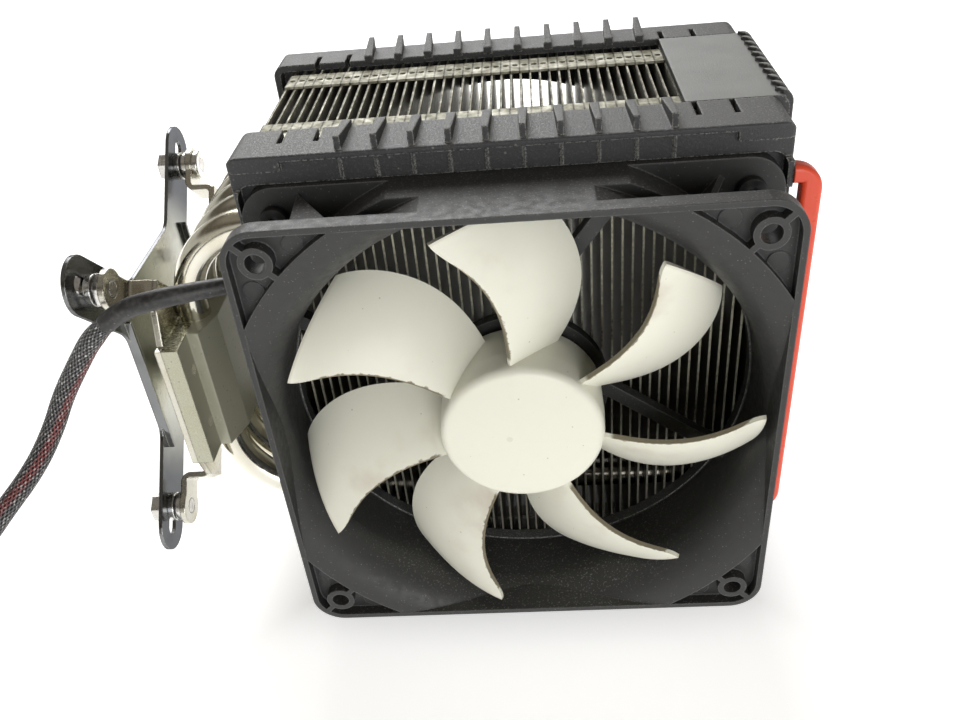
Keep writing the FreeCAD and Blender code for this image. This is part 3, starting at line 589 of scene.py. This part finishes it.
def braid():
    """Black braided sleeve over the lead's wires, with the red one showing through the gaps and painted
    highlights on the strands.
    """
    f = Finish("braided_lead", (0.016, 0.016, 0.018), 0.5)
    uv = f.add("ShaderNodeUVMap")
    u, v = f.split(uv.outputs[0])[:2]
    strands = []
    for way in (1, -1):
        along = f.math("MULTIPLY", u, 2 * math.pi / BRAID_PITCH)
        phase = f.math("MULTIPLY_ADD", v, way * BRAID_STRANDS * math.pi, along)
        strands.append(f.math("ABSOLUTE", f.math("SINE", phase)))
    weave = f.math("MAXIMUM", *strands)
    cross = f.math("MULTIPLY", *strands)
    gap = f.ramp(weave, 0.8, 0.62)
    drift = f.math("FRACT", f.math("MULTIPLY_ADD", u, RED_WIRE_TWIST, v))
    wire = f.ramp(f.math("ABSOLUTE", f.math("SUBTRACT", drift, 0.5)), 0.09, 0.03)
    glint = f.ramp(f.noise(0.0006, 2.0), 0.5, 0.68)
    # Painted sheen: the strands' crowns are lifted to grey.
    f.paint((f.math("MULTIPLY", cross, 0.6), (0.20, 0.20, 0.205)),
            (f.product(wire, 0.65), (0.27, 0.03, 0.03)),
            (gap, (0.008, 0.008, 0.009)),
            # Painted highlight: pale glints on the strands' crowns.
            (f.product(cross, glint, 0.95), (0.72, 0.71, 0.68)),
            (f.math("MULTIPLY", f.specks(0.0025, 0.0004), 0.5), DUST))
    f.rough(f.ramp(weave, 0.5, 1.0, 0.6, 0.32))
    f.bump(weave, 0.0005, 1.0)
    return f.done()


def dull(name, colour, rough, dirt=DUST, amount=0.3, grain=0.003, metal=0.0, depth=0.00003):
    """Plain moulding, rubber or coated part with a dusty film and a fine grain."""
    f = Finish(name, colour, rough, metal)
    f.edges(0.0004)
    cloud = f.noise(grain, 5.0)
    f.paint((f.ramp(cloud, 0.4, 0.8, 0.0, amount), dirt),
            (f.math("MULTIPLY", f.specks(0.0018, 0.0004), 0.4), DUST))
    f.rough(f.ramp(cloud, 0.3, 0.75, rough * 0.85, min(1.0, rough * 1.25)))
    f.bump(f.noise(grain / 5, 3.0), depth, 0.6)
    return f.done()


def banded(name, colour, line, pitch, rough, metal, axis):
    """A part made of many thin turns or sheets: fine lines across one axis."""
    f = Finish(name, colour, rough, metal)
    along = f.split(f.place)[axis]
    wave = f.math("SINE", f.math("MULTIPLY", along, 2 * math.pi / pitch))
    f.paint((f.ramp(wave, 0.2, -0.8), line), (f.ramp(f.noise(0.003, 4.0), 0.45, 0.8, 0.0, 0.3), line))
    f.bump(wave, pitch / 4, 0.7)
    return f.done()


put(fan_plastic(), "fan_frame")
# The figures after each name set how strongly the top faces are greyed and the grey: partly dust, partly
# painted light.
put(bracket_plastic("bracket_plastic", 0.33, (0.23, 0.236, 0.236)), "front_bracket", "rear_bracket")
put(bracket_plastic("cap_plastic", 0.95, (0.34, 0.35, 0.345)), "end_cap")
put(rotor_plastic(), "fan_rotor")
put(fin_aluminium(), "fin_stack")
put(backplate_steel(), "backplate")
put(handle_plastic(), "handle")
put(bright_metal("nickel_pipe", (0.80, 0.78, 0.69), 0.13, (0.58, 0.52, 0.36), 0.014, painted_shade_past=-0.0585),
    "heat_pipe_1", "heat_pipe_2", "heat_pipe_3", "heat_pipe_4", "heat_pipe_5")
put(base_metal(), "base_block", "cold_plate")
put(bright_metal("retainer_steel", (0.62, 0.605, 0.53), 0.2, (0.46, 0.40, 0.28), 0.008, (1.0, 1.0, 6.0)),
    "front_retainer", "rear_retainer")
put(bright_metal("washer_steel", (0.78, 0.77, 0.74), 0.2, (0.55, 0.52, 0.45), 0.004),
    "steel_washers", "hex_nut", "thumb_nut")
put(bright_metal("bolt_steel", (0.68, 0.67, 0.65), 0.26, (0.45, 0.40, 0.33), 0.004), "mount_bolts")
put(bright_metal("screw_steel", (0.62, 0.60, 0.55), 0.3, (0.40, 0.36, 0.30), 0.003), "base_screws")
put(bright_metal("yoke_steel", (0.5, 0.5, 0.5), 0.35, (0.36, 0.35, 0.33), 0.006), "rotor_yoke")
put(bright_metal("shaft_steel", (0.72, 0.72, 0.72), 0.15, (0.6, 0.6, 0.58), 0.002), "rotor_shaft")
put(bright_metal("sleeve_brass", (0.6, 0.42, 0.22), 0.4, (0.4, 0.27, 0.14), 0.002), "bearing_sleeve")
put(dull("magnet", (0.03, 0.03, 0.03), 0.7), "rotor_magnet")
put(dull("clip_plastic", (0.62, 0.62, 0.57), 0.5, (0.45, 0.44, 0.40)), "shaft_clip", "thrust_pad")
put(dull("board", (0.02, 0.12, 0.05), 0.35, (0.35, 0.30, 0.12), 0.5), "motor_board")
put(dull("black_screw", (0.02, 0.02, 0.02), 0.35, (0.12, 0.12, 0.12), 0.4, metal=0.6), "fan_screws")
put(dull("nylon", (0.015, 0.015, 0.016), 0.45), "nylon_washers")
put(dull("plug_plastic", (0.02, 0.02, 0.021), 0.4), "fan_plug")
put(banded("core_steel", (0.36, 0.36, 0.38), (0.10, 0.09, 0.08), 0.0005, 0.4, 0.9, 1), "stator_core")
put(banded("coil_copper", (0.62, 0.22, 0.08), (0.16, 0.05, 0.02), 0.0006, 0.3, 0.8, 1), "stator_coils")
SHRINK = dull("shrink_sleeve", (0.014, 0.014, 0.015), 0.45, DUST, 0.16, 0.0012, depth=0.00006)
BRAID = braid()
put(SHRINK, SLEEVE, "heat_shrink")
put(BRAID, LEAD, "fan_cable", "cable_coil")


# ---- stage ----
TOWER_MIDDLE = (-0.004, 0.058)
TOWER_HALF = (0.078, 0.058)


def make_stage():
    """White paper that glows a little, but not in the shade below the tower."""
    mesh = bpy.data.meshes.new("floor")
    mesh.from_pydata([(-3, -3, 0), (3, -3, 0), (3, 3, 0), (-3, 3, 0)], [], [(0, 1, 2, 3)])
    floor = new_object("floor", mesh)
    f = Finish("floor_paper", (0.90, 0.90, 0.895), 0.75)
    f.shader.inputs["Emission Color"].default_value = (1, 1, 1, 1)
    x, y = f.split(f.place)[:2]
    past = [f.math("SUBTRACT", f.math("ABSOLUTE", f.math("SUBTRACT", where, middle)), half)
            for where, middle, half in zip((x, y), TOWER_MIDDLE, TOWER_HALF)]
    glow = f.ramp(f.math("MAXIMUM", *past), -0.045, 0.006, 0.0, 0.68)
    f.feed(f.shader.inputs["Emission Strength"], glow)
    f.paint((f.math("MULTIPLY", f.noise(0.4, 2.0), 0.15), (0.88, 0.88, 0.875)))
    put(f.done(), floor)


def area_light(name, place, target, size, power):
    """A square lamp that faces its target."""
    data = bpy.data.lights.new(name, "AREA")
    data.size = size
    data.energy = power
    lamp = bpy.data.objects.new(name, data)
    bpy.context.scene.collection.objects.link(lamp)
    lamp.location = place
    lamp.rotation_euler = (Vector(target) - Vector(place)).to_track_quat("-Z", "Y").to_euler()


# The studio seen by shiny metal: height above the horizon (0 down, 0.5 level, 1 up) and colour.
STUDIO = [(0.48, (0.70, 0.67, 0.58)), (0.58, (1.0, 0.98, 0.92)), (0.66, (0.85, 0.83, 0.76)),
          (0.72, (0.16, 0.14, 0.11)), (0.80, (0.20, 0.175, 0.14)), (0.87, (0.44, 0.40, 0.35)),
          (1.0, (0.36, 0.33, 0.29))]


def make_light():
    """The studio's soft light and its two lamps."""
    world = bpy.data.worlds.new("studio")
    bpy.context.scene.world = world
    world.use_nodes = True
    tree = world.node_tree
    background = tree.nodes["Background"]
    coordinates = tree.nodes.new("ShaderNodeTexCoord")
    split = tree.nodes.new("ShaderNodeSeparateXYZ")
    height = tree.nodes.new("ShaderNodeMapRange")
    height.inputs["From Min"].default_value = -1.0
    ramp = tree.nodes.new("ShaderNodeValToRGB")
    steps = ramp.color_ramp.elements
    for index, (place, colour) in enumerate(STUDIO):
        step = steps[index] if index < 2 else steps.new(place)
        step.position = place
        step.color = (*colour, 1)
    tree.links.new(coordinates.outputs["Generated"], split.inputs[0])
    tree.links.new(split.outputs[2], height.inputs["Value"])
    tree.links.new(height.outputs[0], ramp.inputs[0])
    tree.links.new(ramp.outputs[0], background.inputs["Color"])
    background.inputs["Strength"].default_value = 0.57
    area_light("back", (-0.25, 1.0, 0.85), (0, 0, 0.1), 0.9, 15.0)
    area_light("front", (0.3, -1.1, 0.2), (0, -0.05, 0.06), 0.7, 6.4)
    bpy.context.scene.view_settings.view_transform = "Standard"


make_stage()
make_light()
